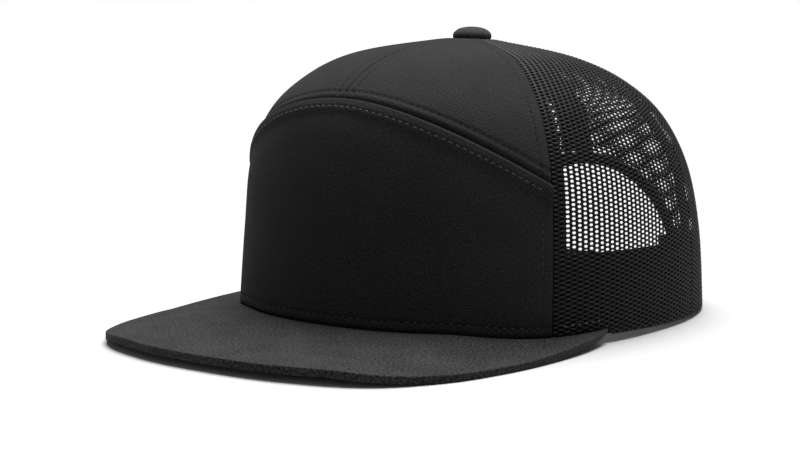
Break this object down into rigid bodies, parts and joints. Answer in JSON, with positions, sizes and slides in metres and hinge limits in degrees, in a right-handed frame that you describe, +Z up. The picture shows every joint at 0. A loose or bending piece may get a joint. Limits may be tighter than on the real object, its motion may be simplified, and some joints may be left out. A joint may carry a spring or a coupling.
{
  "type": "seven-panel cap",
  "caption": "Peaked cap with an arched cloth front, net sides and back, stiff flat peak, covered button, sweatband and a size strap across an arched rear opening.",
  "frame": {"origin": "on the floor, under the middle of the cap's bounding box", "axes": "the peak points to -Y, +X is the wearer's left, +Z is up"},
  "size_m": [0.1768, 0.265, 0.117],
  "materials": {
    "front_cloth": "plain-woven black cotton and polyester, matt",
    "top_cloth": "plain-woven black cotton and polyester, matt",
    "peak_cloth": "plain-woven black cloth stretched over a stiff board, matt",
    "net": "warp-knitted black polyester net, slight sheen",
    "sweatband_cloth": "black cotton twill, matt",
    "binding_tape": "folded black twill tape, matt",
    "seam_tape": "black twill tape, matt",
    "strap_plastic": "moulded black polyethylene, satin",
    "button_cloth": "black cloth drawn over a pressed button, matt"
  },
  "bodies": {
    "root": {"front_panel": "front_cloth", "top_panel_left": "top_cloth", "top_panel_right": "top_cloth", "side_mesh_left": "net", "side_mesh_right": "net", "back_mesh_left": "net", "back_mesh_right": "net", "peak": "peak_cloth", "sweatband": "sweatband_cloth", "opening_binding": "binding_tape", "snap_strap": "strap_plastic", "front_seam_tape_left": "seam_tape", "front_seam_tape_right": "seam_tape", "side_seam_tape_left": "seam_tape", "side_seam_tape_right": "seam_tape", "back_seam_tape": "seam_tape", "button": "button_cloth"}
  },
  "joints": []
}
